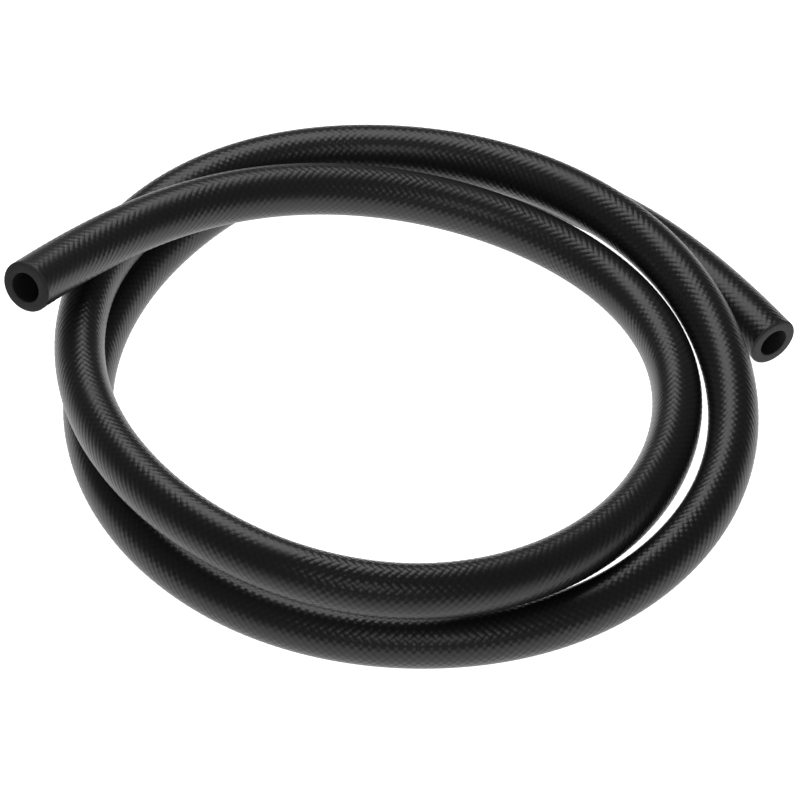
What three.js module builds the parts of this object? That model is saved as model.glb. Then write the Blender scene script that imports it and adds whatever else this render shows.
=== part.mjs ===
// A length of rubber fuel hose, lying loose on a level floor in a coil of nearly two and a half turns.
// Millimetres, +Z up. The origin is on the floor under the middle of the coil, and end B points along -Y.
// The hose is one vulcanised piece: a thick wall round an open bore, cut square at both ends. Its bend squeezes
// it slightly oval, taller than wide, all along the coil, and it is round at its free ends.

import * as THREE from 'three';

// The section of the hose
const outerDiameter = 17;
const boreDiameter = 10;
const outerEdgeRound = 0.8;
const boreEdgeRound = 0.3;
const squeeze = 0.06;
const roundEnd = 0.06;

// The coil
const coilRadius = 85;
const strandGap = 0.35;
const firstAngle = 177;
const sweepAngle = -885.5;

// How the hose lies, at even steps of angle from end A to end B. A lane is one strand's pitch further out
// from the coil's radius, and a layer is one strand's pitch up from the floor. The curve runs near these
// values and not through them, and the first and last only set how the ends lead out.
const lanes = [
  4.02, 1.51, 0.26, -0.47, -0.63, -0.38, 0.14, 0.31, 0.3, 0.53, 0.84, 0.67, 0.51, 0.75, 1.15, 1, 0.6,
  0.61, 0.92, 1.2, 1.49, 1.2, 0.79, 0.64, 0.62, 0.71, 0.78, 1.08, 1.78, 1.32, 1.51, 2.06, 4.3,
];
const layers = [
  3.91, 2.27, 1.75, 1.4, 0.95, 0.52, 0.17, 0.26, 0.4, 0.82, 1.29, 1.51, 1.34, 1, 1, 1.02, 0.99,
  0.91, 0.7, 0.43, 0.25, 0, 0, 0, 0, 0, 0, 0, 0, 0, 0, 0, 0,
];

// How finely the surface is cut up
const sides = 24;
const outerStep = 14;
const boreStep = 28;
const edgeSteps = 3;

const lanePitch = outerDiameter + strandGap;
const layerPitch = outerDiameter * (1 + squeeze) + strandGap;
const up = new THREE.Vector3(0, 0, 1);

// A smooth value between the listed ones: a uniform cubic B-spline, so that the bend of the hose is even.
function smoothValue(values, place) {
  const first = Math.min(Math.floor(place), values.length - 4);
  const f = place - first;
  const weights = [
    (1 - f) ** 3,
    3 * f ** 3 - 6 * f ** 2 + 4,
    -3 * f ** 3 + 3 * f ** 2 + 3 * f + 1,
    f ** 3,
  ];
  return weights.reduce((sum, weight, i) => sum + weight * values[first + i], 0) / 6;
}

// How far the section is squeezed out of round: not at all at the ends, and fully along the coil
function squeezeAt(t) {
  return squeeze * THREE.MathUtils.smoothstep(Math.min(t, 1 - t), 0, roundEnd);
}

// The middle line of the hose, from end A to end B
class CoiledRoute extends THREE.Curve {
  getPoint(t, target = new THREE.Vector3()) {
    const place = t * (lanes.length - 3);
    const angle = THREE.MathUtils.degToRad(firstAngle + t * sweepAngle);
    const radius = coilRadius + lanePitch * smoothValue(lanes, place);
    const halfHeight = (outerDiameter / 2) * (1 + squeezeAt(t));
    const height = halfHeight + layerPitch * smoothValue(layers, place);
    return target.set(radius * Math.cos(angle), radius * Math.sin(angle), height);
  }
}

// One end's cut edges as distances in from the cut and radii: over the outer edge, or over the bore's edge
function edgeProfile(radius, round, inward) {
  const points = [];
  for (let i = 0; i <= edgeSteps; i++) {
    const angle = (i / edgeSteps) * (Math.PI / 2);
    points.push([round * (1 - Math.sin(angle)), radius + inward * round * (1 - Math.cos(angle))]);
  }
  return points;
}

// The hose's wall as a closed loop of [distance along the hose, radius]: out over end A, along the
// cover, over end B and back along the bore
function wallProfile(length) {
  const outer = outerDiameter / 2;
  const bore = boreDiameter / 2;
  const outerEdge = edgeProfile(outer, outerEdgeRound, -1);
  const boreEdge = edgeProfile(bore, boreEdgeRound, 1);
  const fromB = ([distance, radius]) => [length - distance, radius];
  return [
    ...outerEdge.toReversed(),
    ...stations(outerEdgeRound, length - outerEdgeRound, outerStep, outer),
    ...outerEdge.map(fromB),
    ...boreEdge.toReversed().map(fromB),
    ...stations(length - boreEdgeRound, boreEdgeRound, boreStep, bore),
    ...boreEdge,
  ];
}

// Even stations between two distances, both left out
function stations(from, to, step, radius) {
  const count = Math.round(Math.abs(to - from) / step);
  const points = [];
  for (let i = 1; i < count; i++) points.push([from + ((to - from) * i) / count, radius]);
  return points;
}

// A ring of points round the route, square to it and squeezed as the hose is there
function ring(route, length, distance, radius) {
  const at = distance / length;
  const centre = route.getPointAt(at);
  const tangent = route.getTangentAt(at);
  const side = new THREE.Vector3().crossVectors(up, tangent).normalize();
  const rise = new THREE.Vector3().crossVectors(tangent, side);
  const squeezed = squeezeAt(route.getUtoTmapping(at));
  const points = [];
  for (let i = 0; i < sides; i++) {
    const angle = (i / sides) * 2 * Math.PI;
    points.push(
      centre.clone()
        .addScaledVector(side, radius * (1 - squeezed) * Math.cos(angle))
        .addScaledVector(rise, radius * (1 + squeezed) * Math.sin(angle)),
    );
  }
  return points;
}

// The closed surface that the wall's profile sweeps along the route
function sweepGeometry(route) {
  const length = route.getLength();
  const profile = wallProfile(length);
  const positions = [];
  for (const [distance, radius] of profile) {
    for (const point of ring(route, length, distance, radius)) positions.push(point.x, point.y, point.z);
  }
  const indices = [];
  for (let i = 0; i < profile.length; i++) {
    const here = i * sides;
    const next = ((i + 1) % profile.length) * sides;
    for (let j = 0; j < sides; j++) {
      const k = (j + 1) % sides;
      indices.push(here + j, here + k, next + j, next + j, here + k, next + k);
    }
  }
  const geometry = new THREE.BufferGeometry();
  geometry.setAttribute('position', new THREE.Float32BufferAttribute(positions, 3));
  geometry.setIndex(indices);
  geometry.computeVertexNormals();
  return geometry;
}

function makeHose(route) {
  const rubber = new THREE.MeshStandardMaterial({ color: 0x1c1c1e, roughness: 0.55, metalness: 0 });
  const hose = new THREE.Mesh(sweepGeometry(route), rubber);
  hose.name = 'hose';
  return hose;
}

const route = new CoiledRoute();
route.arcLengthDivisions = 2000;
const hose = makeHose(route);

// The coil is turned so that end B faces -Y, and its box is centred on the origin
const endB = route.getTangentAt(1);
hose.rotation.z = -Math.PI / 2 - Math.atan2(endB.y, endB.x);
const box = new THREE.Box3().setFromObject(hose, true);
const middle = box.getCenter(new THREE.Vector3());
hose.position.set(-middle.x, -middle.y, 0);

const coil = new THREE.Group();
coil.add(hose);

export default coil;
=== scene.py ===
import math

import bpy
import numpy as np
from mathutils import Matrix, Vector


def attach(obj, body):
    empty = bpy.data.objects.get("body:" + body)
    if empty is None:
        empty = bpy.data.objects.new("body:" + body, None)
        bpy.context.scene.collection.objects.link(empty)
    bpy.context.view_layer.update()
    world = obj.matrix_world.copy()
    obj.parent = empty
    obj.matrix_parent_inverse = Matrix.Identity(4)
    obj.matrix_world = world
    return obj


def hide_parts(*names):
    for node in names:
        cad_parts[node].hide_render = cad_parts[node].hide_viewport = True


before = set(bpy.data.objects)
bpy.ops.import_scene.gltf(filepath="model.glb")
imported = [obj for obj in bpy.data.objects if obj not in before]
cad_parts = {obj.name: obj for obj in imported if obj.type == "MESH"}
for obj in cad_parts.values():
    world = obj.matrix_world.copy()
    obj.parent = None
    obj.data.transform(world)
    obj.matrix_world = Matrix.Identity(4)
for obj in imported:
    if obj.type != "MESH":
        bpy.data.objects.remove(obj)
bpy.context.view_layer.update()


# The camera
# The hose was photographed from about 1.1 m away with a long lens, looking down at it by a little
# under 50 degrees, with end B towards the right.
camera_azimuth = -32.02
camera_elevation = 47.42
camera_distance = 1.1339
camera_lens = 158.67
looked_at = Vector((-0.00525, 0.00463, 0))

azimuth, elevation = math.radians(camera_azimuth), math.radians(camera_elevation)
towards_camera = Vector((
    math.sin(azimuth) * math.cos(elevation),
    -math.cos(azimuth) * math.cos(elevation),
    math.sin(elevation),
))
bpy.ops.object.select_all(action="DESELECT")
bpy.ops.object.camera_add(location=looked_at + camera_distance * towards_camera)
camera = bpy.context.object
camera.name = "camera"
camera.rotation_euler = (-towards_camera).to_track_quat("-Z", "Y").to_euler()
camera.data.sensor_width = 36
camera.data.lens = camera_lens
camera.data.clip_end = 20
bpy.context.scene.camera = camera


# The hose
# One length of rubber fuel hose, vulcanised in a cloth wrap whose weave stays printed in the black cover,
# cut square at both ends and dropped in a loose coil. Its bend squeezes it slightly taller than wide.
outer_diameter = 0.017
bore_diameter = 0.010
outer_edge_round = 0.0008
bore_edge_round = 0.0003
squeeze = 0.06
round_end = 0.06
coil_radius = 0.085
strand_gap = 0.00035
first_angle = 177
sweep_angle = -885.5
lane_pitch = outer_diameter + strand_gap
layer_pitch = outer_diameter * (1 + squeeze) + strand_gap

# How it lies, at even steps of angle from end A to end B: lanes out from the coil's radius, layers up
lanes = np.array([
    4.02, 1.51, 0.26, -0.47, -0.63, -0.38, 0.14, 0.31, 0.3, 0.53, 0.84, 0.67, 0.51, 0.75, 1.15, 1, 0.6,
    0.61, 0.92, 1.2, 1.49, 1.2, 0.79, 0.64, 0.62, 0.71, 0.78, 1.08, 1.78, 1.32, 1.51, 2.06, 4.3])
layers = np.array([
    3.91, 2.27, 1.75, 1.4, 0.95, 0.52, 0.17, 0.26, 0.4, 0.82, 1.29, 1.51, 1.34, 1, 1, 1.02, 0.99,
    0.91, 0.7, 0.43, 0.25, 0, 0, 0, 0, 0, 0, 0, 0, 0, 0, 0, 0])


def smooth_value(values, place):
    first = np.minimum(np.floor(place).astype(int), len(values) - 4)
    f = place - first
    weights = [(1 - f) ** 3, 3 * f ** 3 - 6 * f ** 2 + 4, -3 * f ** 3 + 3 * f ** 2 + 3 * f + 1, f ** 3]
    return sum(weight * values[first + i] for i, weight in enumerate(weights)) / 6


def squeeze_at(t):
    share = np.clip(np.minimum(t, 1 - t) / round_end, 0, 1)
    return squeeze * share * share * (3 - 2 * share)


def route_point(t):
    place = t * (len(lanes) - 3)
    angle = np.radians(first_angle + t * sweep_angle)
    radius = coil_radius + lane_pitch * smooth_value(lanes, place)
    height = outer_diameter / 2 * (1 + squeeze_at(t)) + layer_pitch * smooth_value(layers, place)
    return np.stack([radius * np.cos(angle), radius * np.sin(angle), height], axis=-1)


# The coil is turned until end B faces -Y, and its box is centred as the solid's is
route_steps = 12000
fine = np.linspace(0, 1, route_steps + 1)
points = route_point(fine)
lead_out = points[-1] - points[-2]
turn = -math.pi / 2 - math.atan2(lead_out[1], lead_out[0])
turned = np.array(Matrix.Rotation(turn, 3, "Z"))
points = points @ turned.T
steps = np.linalg.norm(np.diff(points, axis=0), axis=1)
travelled = np.concatenate([[0], np.cumsum(steps)])
hose_length = travelled[-1]


def along(distances):
    """The middle line, the way to its left, the way up from it and the squeeze, at these distances."""
    centres = np.stack([np.interp(distances, travelled, points[:, k]) for k in range(3)], axis=-1)
    ahead = np.gradient(points, travelled, axis=0)
    tangents = np.stack([np.interp(distances, travelled, ahead[:, k]) for k in range(3)], axis=-1)
    tangents /= np.linalg.norm(tangents, axis=1)[:, None]
    lefts = np.cross([0, 0, 1], tangents)
    lefts /= np.linalg.norm(lefts, axis=1)[:, None]
    return centres, lefts, np.cross(tangents, lefts), squeeze_at(np.interp(distances, travelled, fine))


# The weave's imprint: a net of low diamond cushions, with hollows where their corners meet
diamonds_round = 20
diamond_length = 0.0025
weave_depth = 0.00006
sides = 2 * diamonds_round
half_diamonds = 2 * round((hose_length - 2 * outer_edge_round) / diamond_length)
bore_step = 0.005
edge_steps = 4
around = np.arange(sides) * 2 * math.pi / sides


def edge(round_size, radius, inwards):
    """A rounded edge from the side wall to the cut, as [distance in from the cut, radius]."""
    quarter = np.linspace(0, math.pi / 2, edge_steps + 1)
    return [[round_size * (1 - math.sin(q)), radius + inwards * round_size * (1 - math.cos(q))] for q in quarter]


# The wall as a closed loop: out over end A, along the cover, over end B and back along the bore
outer_edge = edge(outer_edge_round, outer_diameter / 2, -1)[1:]
bore_edge = edge(bore_edge_round, bore_diameter / 2, 1)
cover_at = np.linspace(outer_edge_round, hose_length - outer_edge_round, half_diamonds + 1)
bore_at = np.linspace(hose_length - bore_edge_round, bore_edge_round, round(hose_length / bore_step))[1:-1]
profile = [[d, r] for d, r in outer_edge[::-1]]
profile += [[d, outer_diameter / 2] for d in cover_at]
profile += [[hose_length - d, r] for d, r in outer_edge]
profile += [[hose_length - d, r] for d, r in bore_edge[::-1]]
profile += [[d, bore_diameter / 2] for d in bore_at]
profile += bore_edge
profile = np.array(profile)
cover_first = len(outer_edge)
cover_last = cover_first + half_diamonds

centres, lefts, rises, squeezed = along(profile[:, 0])
radii = np.repeat(profile[:, 1][:, None], sides, axis=1)
rows, columns = np.meshgrid(np.arange(len(profile)), np.arange(sides), indexing="ij")
on_cover = (rows > cover_first) & (rows < cover_last)
hollow = (rows - cover_first + columns) % 2 == 0
radii = radii - np.where(on_cover & hollow, weave_depth, 0)
across = (radii * (1 - squeezed)[:, None] * np.cos(around))[:, :, None] * lefts[:, None, :]
upwards = (radii * (1 + squeezed)[:, None] * np.sin(around))[:, :, None] * rises[:, None, :]
vertices = (centres[:, None, :] + across + upwards).reshape(-1, 3)
middle = (vertices.min(axis=0) + vertices.max(axis=0)) / 2 * [1, 1, 0]
vertices -= middle

# Each cell of the net is cut from hollow to hollow, so that every diamond stands up as a low cushion
after = (rows + 1) % len(profile)
beside = (columns + 1) % sides
a, b = rows * sides + columns, rows * sides + beside
c, d = after * sides + beside, after * sides + columns
from_hollow = (rows - cover_first + columns) % 2 == 0
first_half = np.where(from_hollow[:, :, None], np.stack([a, b, c], -1), np.stack([a, b, d], -1))
second_half = np.where(from_hollow[:, :, None], np.stack([a, c, d], -1), np.stack([b, c, d], -1))
triangles = np.stack([first_half, second_half], axis=2).reshape(-1, 3)

# The weave's own coordinates: one unit for each diamond, along the hose and round it
weave_v = np.stack([columns, columns + 1, columns + 1, columns], -1) / 2
along_units = (profile[:, 0] - outer_edge_round) / diamond_length
along_next = np.concatenate([along_units[1:], along_units[:1]])
weave_u = np.stack([along_units[rows], along_units[rows], along_next[rows], along_next[rows]], -1)
corner_order = np.where(from_hollow[:, :, None], np.array([0, 1, 2, 0, 2, 3]), np.array([0, 1, 3, 1, 2, 3]))
weave_uv = np.stack([
    np.take_along_axis(weave_u, corner_order, axis=2),
    np.take_along_axis(weave_v, corner_order, axis=2)], axis=-1).reshape(-1, 2)

shape = bpy.data.meshes.new("fuel_hose")
shape.from_pydata(vertices.tolist(), [], triangles.tolist())
shape.uv_layers.new(name="weave").data.foreach_set("uv", weave_uv.astype(np.float32).ravel())
shape.polygons.foreach_set("use_smooth", np.ones(len(triangles), bool))
is_cover = (rows >= cover_first) & (rows < cover_last)
is_bore = (rows >= cover_last + len(outer_edge) + len(bore_edge)) & (rows < len(profile) - len(bore_edge))
finish_of = np.where(is_cover, 0, np.where(is_bore, 2, 1))
shape.update()
fuel_hose = bpy.data.objects.new("fuel_hose", shape)
bpy.context.scene.collection.objects.link(fuel_hose)


def new_finish(name):
    """A material with its Principled shader, its nodes and its links."""
    material = bpy.data.materials.new(name)
    material.use_nodes = True
    nodes, links = material.node_tree.nodes, material.node_tree.links
    return material, nodes["Principled BSDF"], nodes, links


def calculate(nodes, links, operation, *inputs):
    """A Math node fed with numbers or with other nodes' outputs."""
    node = nodes.new("ShaderNodeMath")
    node.operation = operation
    for socket, value in zip(node.inputs, inputs):
        if isinstance(value, (int, float)):
            socket.default_value = value
        else:
            links.new(value, socket)
    return node.outputs[0]


def blended(nodes, links, share, low, high):
    """A number that goes from low to high as share goes from 0 to 1."""
    node = nodes.new("ShaderNodeMapRange")
    node.inputs["To Min"].default_value = low
    node.inputs["To Max"].default_value = high
    links.new(share, node.inputs["Value"])
    return node.outputs["Result"]


def noise(nodes, links, where, scale, detail):
    """Fractal noise from 0 to 1 at these coordinates."""
    node = nodes.new("ShaderNodeTexNoise")
    node.inputs["Scale"].default_value = scale
    node.inputs["Detail"].default_value = detail
    links.new(where, node.inputs["Vector"])
    return node.outputs["Fac"]


def colour(nodes, links, shader, share, dark, pale):
    """Sets a base colour that goes from dark to pale as share goes from 0 to 1."""
    node = nodes.new("ShaderNodeMix")
    node.data_type = "RGBA"
    node.inputs["A"].default_value = dark
    node.inputs["B"].default_value = pale
    links.new(share, node.inputs["Factor"])
    links.new(node.outputs["Result"], shader.inputs["Base Color"])


def relief(nodes, links, shader, height, strength, distance):
    """Sets a bump whose height of 1 stands this distance out of the surface."""
    node = nodes.new("ShaderNodeBump")
    node.inputs["Strength"].default_value = strength
    node.inputs["Distance"].default_value = distance
    links.new(height, node.inputs["Height"])
    links.new(node.outputs["Normal"], shader.inputs["Normal"])


# Cover: satin black rubber, pressed into diamond cushions where two families of yarns cross. The
# imprint is fainter in some places than in others, and a fine grain lies over it.
cover_black = (0.0095, 0.0095, 0.0098, 1)
cover_worn = (0.0150, 0.0150, 0.0154, 1)
cover_ior = 1.42
cover_roughness = (0.28, 0.40)
cushion_height = 0.00006
ridge_sharpness = 1.3
patch_scale = 55
patch_strength = (-0.5, 2.1)
faintest_patch = 0.25
grain_scale = 2600
grain_share = 0.3
worn_share = 0.5
cover_rubber, shader, nodes, links = new_finish("cover_rubber")
weave = nodes.new("ShaderNodeUVMap")
weave.uv_map = "weave"
axes = nodes.new("ShaderNodeSeparateXYZ")
links.new(weave.outputs["UV"], axes.inputs["Vector"])
place = nodes.new("ShaderNodeTexCoord").outputs["Object"]


def yarns(turns):
    """One family of yarns: a soft ridge to each diamond, 1 along its crest and 0 in the groove."""
    sine = calculate(nodes, links, "SINE", calculate(nodes, links, "MULTIPLY", turns, math.pi))
    return calculate(nodes, links, "POWER", calculate(nodes, links, "ABSOLUTE", sine), ridge_sharpness)


right_hand = yarns(calculate(nodes, links, "ADD", axes.outputs["X"], axes.outputs["Y"]))
left_hand = yarns(calculate(nodes, links, "SUBTRACT", axes.outputs["X"], axes.outputs["Y"]))
pressed = calculate(nodes, links, "ADD", right_hand, left_hand)
strength = blended(nodes, links, noise(nodes, links, place, patch_scale, 3), *patch_strength)
strength = calculate(nodes, links, "MAXIMUM", strength, faintest_patch)
grain = noise(nodes, links, place, grain_scale, 2)
imprint = calculate(nodes, links, "MULTIPLY", pressed, strength)
surface = calculate(nodes, links, "ADD", imprint, calculate(nodes, links, "MULTIPLY", grain, grain_share))
relief(nodes, links, shader, surface, 1, cushion_height)
worn = calculate(nodes, links, "MULTIPLY", pressed, worn_share)
colour(nodes, links, shader, worn, cover_black, cover_worn)
links.new(blended(nodes, links, grain, *cover_roughness), shader.inputs["Roughness"])
shader.inputs["IOR"].default_value = cover_ior

# Cut faces: the sawn rubber, matte and greyer, with a fine speckle of lighter filler
cut_dark = (0.013, 0.013, 0.0134, 1)
cut_pale = (0.042, 0.042, 0.043, 1)
cut_roughness = (0.65, 0.9)
cut_grain_height = 0.0001
speckle_scale = 1800
speckle_contrast = (-0.6, 1.6)
cut_rubber, shader, nodes, links = new_finish("cut_rubber")
place = nodes.new("ShaderNodeTexCoord").outputs["Object"]
speckle = noise(nodes, links, place, speckle_scale, 4)
colour(nodes, links, shader, blended(nodes, links, speckle, *speckle_contrast), cut_dark, cut_pale)
links.new(blended(nodes, links, speckle, *cut_roughness), shader.inputs["Roughness"])
relief(nodes, links, shader, speckle, 0.6, cut_grain_height)

# Bore: the smooth fuel-proof inner tube, black, with faint lines along it
bore_black = (0.014, 0.014, 0.014, 1)
bore_worn = (0.022, 0.022, 0.022, 1)
bore_roughness = (0.5, 0.65)
line_stretch = (0.05, 3, 1)
bore_rubber, shader, nodes, links = new_finish("bore_rubber")
lining = nodes.new("ShaderNodeUVMap")
lining.uv_map = "weave"
stretch = nodes.new("ShaderNodeMapping")
stretch.inputs["Scale"].default_value = line_stretch
links.new(lining.outputs["UV"], stretch.inputs["Vector"])
lines = noise(nodes, links, stretch.outputs["Vector"], 2, 2)
colour(nodes, links, shader, lines, bore_black, bore_worn)
links.new(blended(nodes, links, lines, *bore_roughness), shader.inputs["Roughness"])

for finish in (cover_rubber, cut_rubber, bore_rubber):
    fuel_hose.data.materials.append(finish)
shape.polygons.foreach_set("material_index", np.repeat(finish_of.ravel(), 2).astype(np.int32))
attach(fuel_hose, "root")
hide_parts("hose")


# The floor
# A wide white sheet that glows with painted light, most of all under the coil: a painted pool of light that fades
# far away, so that the camera sees clean white and the lower sides of the hose mirror it.
glow_under_hose = 1.2
glow_far_away = 0.2
bright_radius = 0.08
dim_radius = 0.35
camera_white = 0.95
bpy.ops.mesh.primitive_plane_add(size=6, location=(0, 0, 0))
floor = bpy.context.object
floor.name = "floor"
glowing_floor, shader, nodes, links = new_finish("glowing_floor")
place = nodes.new("ShaderNodeTexCoord")
reach = nodes.new("ShaderNodeVectorMath")
reach.operation = "LENGTH"
links.new(place.outputs["Object"], reach.inputs[0])
# Painted light: the floor's glow is brightest under the coil and dims far away, a painted pool of light
painted_glow_pool = nodes.new("ShaderNodeMapRange")
painted_glow_pool.interpolation_type = "SMOOTHSTEP"
painted_glow_pool.inputs["From Min"].default_value = bright_radius
painted_glow_pool.inputs["From Max"].default_value = dim_radius
painted_glow_pool.inputs["To Min"].default_value = glow_under_hose
painted_glow_pool.inputs["To Max"].default_value = glow_far_away
links.new(reach.outputs["Value"], painted_glow_pool.inputs["Value"])
seen = nodes.new("ShaderNodeLightPath")
white = calculate(nodes, links, "MULTIPLY", seen.outputs["Is Camera Ray"], camera_white)
links.new(calculate(nodes, links, "MAXIMUM", white, painted_glow_pool.outputs["Result"]), shader.inputs["Emission Strength"])
shader.inputs["Base Color"].default_value = (0.8, 0.8, 0.8, 1)
shader.inputs["Roughness"].default_value = 0.9
shader.inputs["Emission Color"].default_value = (1, 1, 1, 1)
floor.data.materials.append(glowing_floor)


# The lights
# One softbox above and a little behind the coil, a second one in front beside the camera, and a dim room.
def softbox(name, towards, distance, size, power):
    aim = Vector(towards).normalized()
    bpy.ops.object.light_add(type="AREA", location=aim * distance)
    lamp = bpy.context.object
    lamp.name = name
    lamp.rotation_euler = aim.to_track_quat("Z", "Y").to_euler()
    lamp.data.shape = "SQUARE"
    lamp.data.size = size
    lamp.data.energy = power


behind = Matrix.Rotation(azimuth, 3, "Z") @ Vector((-0.06, 0.258, 0.41))
in_front = Matrix.Rotation(azimuth, 3, "Z") @ Vector((0, -0.76, 0.65))
softbox("softbox_above", behind, 0.49, 0.36, 1.4)
softbox("softbox_front", in_front, 2.0, 0.7, 4.5)

room_level = 0.12
world = bpy.data.worlds.new("room")
bpy.context.scene.world = world
world.use_nodes = True
room = world.node_tree.nodes["Background"]
room.inputs["Color"].default_value = (*[room_level] * 3, 1)
room.inputs["Strength"].default_value = 1
bpy.context.scene.view_settings.view_transform = "Standard"
